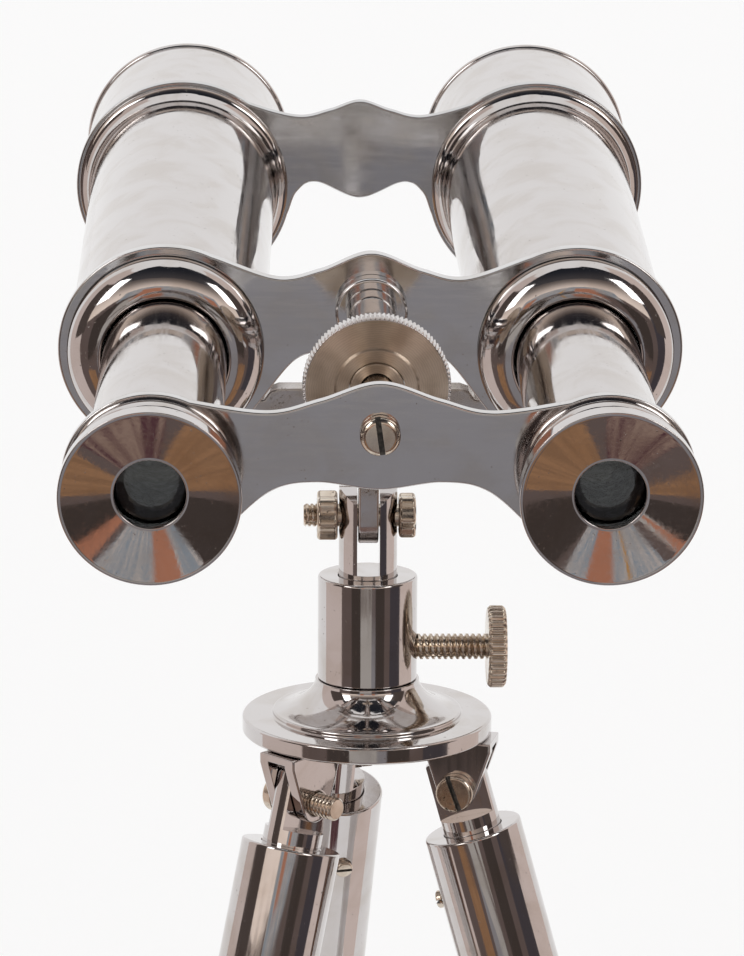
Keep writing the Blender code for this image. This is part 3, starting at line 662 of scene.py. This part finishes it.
def focus_drive():
    at = optical(0, SPINDLE_HEIGHT)
    low, high = 30.0, 61.0
    shaft = [(0, 62.0), (SPINDLE_R, 62.0, 0.4)] + threaded_run(
        SPINDLE_R, low, high, SPINDLE_PITCH) + [
        (SPINDLE_R, 9.7, 0.2), (1.6, 9.7, 0.1), (1.6, 20.0, 0.1), (0, 20.0)]
    piece("focus_spindle", lathe(shaft, 48, closed=False,
                                 shape=thread(SPINDLE_R, SPINDLE_PITCH, 0.35, low, high)),
          at, WARM, "carriage", "focus_spindle")
    screw = [(0, 18.0), (1.5, 18.0, 0.3), (1.5, 7.9, 0.1), (2.9, 7.9, 0.15), (2.9, 6.6, 0.35),
             (2.3, 6.1, 0.3), (0, 6.05)]
    slot = moved(block((-0.4, 0.4), (-4, 4), (5, 7.2)), turn(-8, "Z"))
    screw = carve(lathe(screw, 96, closed=False), [("DIFFERENCE", slot)], 0.05, (WARM, SLOT_DARK))
    piece("spindle_screw", screw, at, (WARM, SLOT_DARK), "carriage", "spindle_screw")

    wheel = [(10.7, 31.0, 0.2), (WHEEL_R, 30.6, 0.15), (WHEEL_R, 28.4, 0.15), (10.7, 28.0, 0.15),
             (6.3, 28.0, 0.1), (6.0, 27.7, 0.1), (4.15, 27.7, 0.1), (4.15, 31.0, 0.1)]
    wheel = lathe(wheel, 800, shape=knurl(WHEEL_R, 100, 0.28, 0.35),
                  inside=lambda r, h: r > WHEEL_R - 0.5)
    piece("focus_wheel", wheel, at, (TURNED, NICKEL), "focus_drive", "focus_wheel")
    hub = [(3.0, 72.0, 0.2), (3.0, 64.6, 0.1), (HUB_R, 64.6, 0.3), (HUB_R, WHEEL_REAR_Y, 0),
           (HUB_R, 27.4, 0.3), (2.5, 27.4, 0.15), (2.5, 72.0, 0.1)]
    piece("focus_hub", lathe(hub, 96, inside=lambda r, h: h < WHEEL_REAR_Y and r > 2.6), at,
          (NICKEL, TURNED), "focus_drive", "focus_hub")
    hexagon = [(4.75 * math.cos(math.radians(60 * k)), 4.75 * math.sin(math.radians(60 * k)))
               for k in range(6)]
    piece("hub_nut", solid(hexagon, 1.8, [((0, 0), 3.1, 48)], 0.25),
          place(at, 0, 0, 70.4), WARM, "focus_drive", "hub_nut")
    boss = [(5.7, 67.3, 0.1), (5.7, 64.8, 0.5), (3.1, 64.8, 0.15), (3.1, 67.3, 0.1)]
    piece("focus_boss", lathe(boss, 96), at, PLATE, "glasses", "focus_boss")


# ---------------------------------------------------------------- tilt head

def stand_bracket():
    cradle = arc((HALF, 0), 15.7, 221, 250, 24)
    right = [(0, -8.0), (14.6, -8.0), (16.0, -8.5), (17.0, -9.9)] + cradle + [
        (27.4, -16.4), (20.0, -15.6), (8.0, -15.2), (0, -15.2)]
    left = [(-x, z) for x, z in reversed(right[1:-1])]
    bar = moved(solid(list(reversed(right + left)), 3.4, edge=0.35),
                Matrix.Translation(Vector((0, TILT_BOLT_DROP, 1.8)) * MM))
    top = TILT_BOLT_DROP - 12.0
    tongue = [(4.6, top)] + arc((0, 0), 4.6, 0, -180, 49) + [(-4.6, top)]
    tongue = moved(solid(list(reversed(tongue)), 3.3, [((0, 0), BOLT_HOLE_R, 48)], 0.3),
                   turn(90, "Y"))
    brazing = moved(lathe([(0, 3.2), (3.3, 3.2, 0.5), (2.6, 0.6, 0.4), (1.2, -0.8, 0.3), (0, -0.8)],
                          32, closed=False),
                    Matrix.Translation(Vector((2.3, 13.2, 0.4)) * MM) @ turn(-90, "X"))
    mesh = carve(bar, [("UNION", tongue), ("UNION", brazing)], 0.0)
    piece("stand_bracket", mesh, GLASSES @ FACE_Y, ROUGH_NICKEL, "glasses", "stand_bracket")


def head():
    post = lathe([(0, 8.0), (4.8, 8.0, 0.1), (4.8, -26.0, 0.4), (0, -26.0)], 96, closed=False)
    crown = arc((0, 0), 5.0, 180, 0, 49)
    crown = moved(solid([(4.99, -30), (-4.99, -30)] + crown, 20, edge=0.1), FACE_X)
    slot = block((-1.85, 1.85), (-10, 10), (-9.2, 12))
    hole = cross_hole(BOLT_HOLE_R, -10, 10, ALONG_X)
    mesh = carve(post, [("INTERSECT", crown), ("DIFFERENCE", slot), ("DIFFERENCE", hole)], 0.13)
    piece("head_post", mesh, BOLT, NICKEL, "head", "head_post")

    low, high = -10.6, 7.4
    bolt = [(0, high), (1.6, high, 0.1), (BOLT_R, high - 0.3, 0.1), (BOLT_R, -4.6, 0)]
    bolt += threaded_run(BOLT_R, low + 0.3, -4.9, BOLT_PITCH)[1:] + [(1.6, low, 0.1), (0, low)]
    bolt = lathe(bolt, 48, closed=False, shape=thread(BOLT_R, BOLT_PITCH, 0.3, low, -4.7))
    piece("tilt_bolt", bolt, place(BOLT, 0, 0, 0, ALONG_X), WARM, "head", "tilt_bolt")
    hole = [((0, 0), BOLT_HOLE_R, 48)]
    piece("tilt_bolt_knob", solid(lobed(3.5, 0.35), 2.8, hole, 0.6),
          place(BOLT, 6.4, 0, 0, FACE_X), WARM, "head", "tilt_bolt_knob")
    piece("tilt_nut", solid(lobed(3.75, 0.35), 3.4, hole, 0.6),
          place(BOLT, -6.7, 0, 0, FACE_X @ turn(12, "Z")), WARM, "tilt_nut", "tilt_nut")


# ---------------------------------------------------------------- socket, base and clamp

def stand_core():
    sleeve = lathe([(8.2, -10.0, 0.45), (8.2, -27.4, 0.2), (4.9, -27.4, 0.1), (4.9, -10.0, 0.3)],
                   128)
    bore = cross_hole(2.25, 5.5, 13, ALONG_X, CLAMP_DROP)
    piece("socket_sleeve", carve(sleeve, [("DIFFERENCE", bore)], 0.1), BOLT, NICKEL, "base",
          "socket_sleeve")

    cove = [(15.0 - 6.4 * math.cos(math.radians(88 * i / 24)) ** 1.3,
             -27.9 - 4.9 * math.sin(math.radians(88 * i / 24)) ** 1.25) for i in range(1, 25)]
    base = [(0, -27.5), (8.6, -27.5, 0.15)] + cove + [
        (15.6, -32.8, 0.3), (15.7, -33.6, 0.25), (20.4, -33.65, 0.15), (20.7, -33.95, 0.15),
        (20.7, -36.2, 0.15), (20.4, -36.5, 0.15), (0, -36.5)]
    piece("tripod_base", lathe(base, 192, closed=False), BOLT, NICKEL, "base", "tripod_base")

    at = place(BOLT, 0, 0, -CLAMP_DROP, ALONG_X)
    screw = [(0, 22.6), (1.85, 22.6, 0.1), (CLAMP_R, 22.3, 0)]
    screw += threaded_run(CLAMP_R, 5.4, 22.2, CLAMP_PITCH) + [(1.7, 5.1, 0.1), (0, 5.1)]
    screw = lathe(screw, 64, closed=False, shape=thread(CLAMP_R, CLAMP_PITCH, 0.5, 5.2, 20.6))
    piece("clamp_screw", screw, at, WARM, "clamp", "clamp_screw")
    knob = [(6.3, 22.9, 0.3), (6.8, 22.4, 0.2), (6.8, 20.3, 0.2), (6.3, 19.8, 0.3),
            (2.25, 19.8, 0.1), (2.25, 22.9, 0.1)]
    piece("clamp_knob", lathe(knob, 384, shape=knurl(6.8, 32, 0.45, 0.6)), at, WARM, "clamp",
          "clamp_knob")


# ---------------------------------------------------------------- legs

def leg(number):
    def named(part):
        return "%s_%d" % (part, number)
    pivot = leg_frame(number)
    body = named("leg")
    downward = 180 - LEG_SPLAY               # from the pivot's Z to the leg's
    splayed = pivot @ turn(downward, "Y")

    root = 8.4
    tip = arc((0, 0), 3.2, -10, -170, 33)
    outline = [(5.6, root), (5.6, root - 1.6)] + tip + [(-5.6, root - 1.6), (-5.6, root)]
    lug = moved(solid(list(reversed(outline)), 7.7, [((0, 0), BOLT_HOLE_R, 48)], 0.3), FACE_Y)
    lug = carve(lug, [("DIFFERENCE", block((-15, 15), (-1.85, 1.85), (-6.8, 7.2)))], 0.12)
    piece(named("base_lug"), lug, pivot, NICKEL, "base", named("base_lug"))

    pin = [(0, 8.25), (1.6, 8.25, 0.1), (BOLT_R, 7.95, 0)]
    pin += threaded_run(BOLT_R, 3.2, 7.9, BOLT_PITCH)[1:] + [
        (BOLT_R, -3.95, 0.1), (3.1, -3.95, 0.15), (3.1, -5.6, 0.35), (2.75, -5.95, 0.2), (0, -6.0)]
    slot = moved(block((-0.4, 0.4), (-4, 4), (-7, -4.9)), turn(119 + 40 * number, "Z"))
    pin = lathe(pin, 64, closed=False, shape=thread(BOLT_R, BOLT_PITCH, 0.3, 3.1, 8.0))
    screw = carve(pin, [("DIFFERENCE", slot)], 0.05, (WARM, SLOT_DARK))
    piece(named("leg_screw"), screw, place(pivot, 0, 0, 0, ALONG_Y), (WARM, SLOT_DARK), "base",
          named("leg_screw"))

    plug = lathe([(0, 25.0), (4.85, 25.0, 0.3), (4.85, -4.6, 0.5), (0, -4.6)], 96, closed=False)
    cheeks = [("DIFFERENCE", block((-15, 15), side, (-15, 5.0)))
              for side in ((1.65, 12), (-12, -1.65))]
    hole = cross_hole(BOLT_HOLE_R, -10, 10, FACE_Y)
    piece(named("leg_plug"), carve(plug, cheeks + [("DIFFERENCE", hole)], 0.12), splayed, NICKEL,
          body, named("leg_plug"))

    tube = [(8.15, 204.0, 0.2), (8.15, 7.6, 0.4), (4.95, 7.6, 0.25), (4.95, 28.0, 0.1),
            (7.05, 28.0, 0.1), (7.05, 204.0, 0.1)]
    bore = cross_hole(1.6, 5.2, 12, ALONG_X, -SET_SCREW_DROP)
    piece(named("leg_tube"), carve(lathe(tube, 128), [("DIFFERENCE", bore)], 0.1), splayed, NICKEL,
          body, named("leg_tube"))
    screw = [(0, 9.15), (1.3, 9.15, 0.1), (SET_SCREW_R, 8.95, 0.1)]
    screw += threaded_run(SET_SCREW_R, 5.3, 8.6, SET_SCREW_PITCH) + [(1.3, 5.15, 0.1), (0, 5.15)]
    screw = lathe(screw, 48, closed=False,
                  shape=thread(SET_SCREW_R, SET_SCREW_PITCH, 0.2, 5.2, 8.5))
    slot = block((-0.25, 0.25), (-3, 3), (8.5, 10))
    screw = carve(screw, [("DIFFERENCE", slot)], 0.05, (WARM, SLOT_DARK))
    piece(named("leg_set_screw"), screw, place(splayed, 0, 0, SET_SCREW_DROP, ALONG_X),
          (WARM, SLOT_DARK), body, named("leg_set_screw"))

    ribs = []
    for k in range(5):
        y = 208.5 - 3.4 * k
        ribs += [(9.4, y, 0.2), (9.4, y - 2.2, 0.2), (8.9, y - 2.5, 0.2), (8.9, y - 3.1, 0.2)]
    foot = [(0, 230.0), (9.4, 230.0, 0.3)] + ribs + [
        (8.9, 192.0, 0.4), (8.25, 192.0, 0.2), (8.25, 204.1, 0.2), (0, 204.1)]
    floor = block((-20, 120), (-60, 60), (-300, -PIVOT_TO_FLOOR))
    foot = moved(lathe(foot, 96, closed=False), turn(downward, "Y"))
    foot = moved(carve(foot, [("DIFFERENCE", floor)], 0), turn(-downward, "Y"))
    piece(named("leg_foot"), foot, splayed, RUBBER, body, named("leg_foot"))


plates()
for side_name, side_x in SIDES:
    eyepiece(side_name, side_x)
    barrel(side_name, side_x)
focus_drive()
stand_bracket()
head()
stand_core()
for leg_number in (1, 2, 3):
    leg(leg_number)


# ---------------------------------------------------------------- studio

REFLECTED = 0.65                             # how much of a card's light the nickel returns
HEART = Vector((-0.010, -0.099, 0.272))      # middle of the eyecup faces
FAR, FLAG_CLEARANCE = 0.92, 0.004            # metres to the farthest flags, and over the table


def flag(name, colour, azimuths, elevations, distance, top=None, gain=1.0, mottle=None):
    """Curved studio flag, seen only in reflections, over ranges of direction from the eyecups.

    Azimuth runs from the camera's side towards +X. The flag bends along the table where it
    would pass under it. Colours are as they look in the metal; top is the upper edge's."""
    count = 16
    corners, faces = [], []
    for j in range(count + 1):
        e = math.radians(elevations[0] + (elevations[1] - elevations[0]) * j / count)
        reach = distance
        if e < 0:
            lowest = FLAG_CLEARANCE + (FAR - distance) * 0.1
            reach = min(distance, (HEART.z - lowest) / math.sin(-e))
        for i in range(count + 1):
            a = math.radians(azimuths[0] + (azimuths[1] - azimuths[0]) * i / count)
            corners.append((reach * math.sin(a) * math.cos(e), -reach * math.cos(a) * math.cos(e),
                            reach * math.sin(e)))
    for j in range(count):
        for i in range(count):
            k = j * (count + 1) + i
            faces.append((k, k + 1, k + count + 2, k + count + 1))
    look = bpy.data.materials.new(name)
    look.use_nodes = True
    tree = look.node_tree
    coords = node(tree, "ShaderNodeTexCoord").outputs["Object"]
    glow = node(tree, "ShaderNodeEmission", [("Color", (*linear(colour), 1)),
                                             ("Strength", gain / REFLECTED)])
    if top:
        low, high = (distance * math.sin(math.radians(e)) for e in elevations)
        height = node(tree, "ShaderNodeSeparateXYZ", [(0, coords)]).outputs[2]
        tint = blend(tree, spread(tree, height, low, high), linear(colour), linear(top))
        tree.links.new(tint, glow.inputs["Color"])
    if mottle:
        patch = spread(tree, noise(tree, coords, 28.0, 4.0, distortion=1.5), 0.42, 0.6)
        tree.links.new(blend(tree, patch, linear(colour), linear(mottle)), glow.inputs["Color"])
    tree.links.new(glow.outputs[0], tree.nodes["Material Output"].inputs[0])
    obj = stage_mesh(name, corners, faces, look)
    obj.location = HEART
    obj.visible_camera = obj.visible_diffuse = obj.visible_shadow = False
    obj.visible_transmission = obj.visible_volume_scatter = False


def studio():
    """White tent, open on the camera's side to a darker room."""
    world = bpy.data.worlds.new("tent")
    bpy.context.scene.world = world
    world.use_nodes = True
    back = world.node_tree.nodes["Background"]
    back.inputs[0].default_value = (1.0, 0.997, 0.997, 1.0)
    back.inputs[1].default_value = 1.005
    size, level = 12.0, -0.0005              # just under the feet
    table = bpy.data.materials.new("table")
    table.use_nodes = True
    shader = table.node_tree.nodes["Principled BSDF"]
    shader.inputs["Base Color"].default_value = (0.955, 0.953, 0.952, 1)
    shader.inputs["Roughness"].default_value = 0.9
    stage_mesh("table", [(-size, -size, level), (size, -size, level), (size, size, level),
                         (-size, size, level)], [(0, 1, 2, 3)], table)

    flag("room", "584d4a", (-68, 84), (-64, 2), FAR)
    flag("room_wall", "d8cabf", (-68, 84), (2, 36), FAR, top="5a5350")
    flag("room_ceiling", "3c3a3c", (-68, 84), (36, 82), FAR, top="1e2026")
    flag("navy", "3d393d", (56, 84), (-45, 24), 0.90)
    flag("tent_left", "b6aaa5", (-118, -68), (-60, 60), FAR)
    flag("tent_right", "bdb0aa", (84, 128), (-60, 60), FAR)
    flag("grey_low", "79777a", (-15, 19), (-47, -19), 0.88)
    flag("grey_high", "97938f", (-21, 9), (-24, -7), 0.87)
    flag("steel", "7a828a", (-24, 24), (-3, 9), 0.86, mottle="a09a96")
    flag("brass", "a07844", (6.0, 7.2), (-2, 8), 0.215)
    flag("table_middle", "4a3236", (-26, 26), (-78, -50), 0.80, mottle="7d6a60")
    for side, mark in ((-1, "left"), (1, "right")):
        flag("softbox_" + mark, "ffffff", sorted((side * 44, side * 62)), (16, 44), 0.80, gain=2.6)
        flag("table_" + mark, "86664c", sorted((side * 22, side * 46)), (-54, -29), 0.78,
             mottle="765a44")
        flag("dark_" + mark, "3b3431", sorted((side * 19, side * 42)), (-25, -3), 0.82)
        flag("wing_" + mark, "453d3a", sorted((side * 62, side * 92)), (-5, 40), 0.84)
        flag("warm_" + mark, "9a6a55", sorted((side * 11.3, side * 20.8)), (-12, 8), 0.25)


def stage_mesh(name, corners, faces, look):
    mesh = bpy.data.meshes.new(name)
    mesh.from_pydata(corners, [], faces)
    mesh.materials.append(look)
    obj = bpy.data.objects.new(name, mesh)
    bpy.context.scene.collection.objects.link(obj)
    return obj


studio()


# ---------------------------------------------------------------- camera

def photographer():
    """Camera from its yaw, pitch and roll, with its lens for the long side's sensor."""
    data = bpy.data.cameras.new("camera")
    data.sensor_width, data.lens = 36.0, 130.3
    data.clip_start, data.clip_end = 0.01, 20.0
    camera = bpy.data.objects.new("camera", data)
    bpy.context.scene.collection.objects.link(camera)
    camera.matrix_world = (Matrix.Translation((-0.02297, -0.57208, 0.38043)) @ turn(-1.368, "Z")
                           @ turn(-12.56, "X") @ turn(-0.346, "Y") @ turn(90, "X"))
    bpy.context.scene.camera = camera
    bpy.context.scene.view_settings.view_transform = "Standard"


photographer()
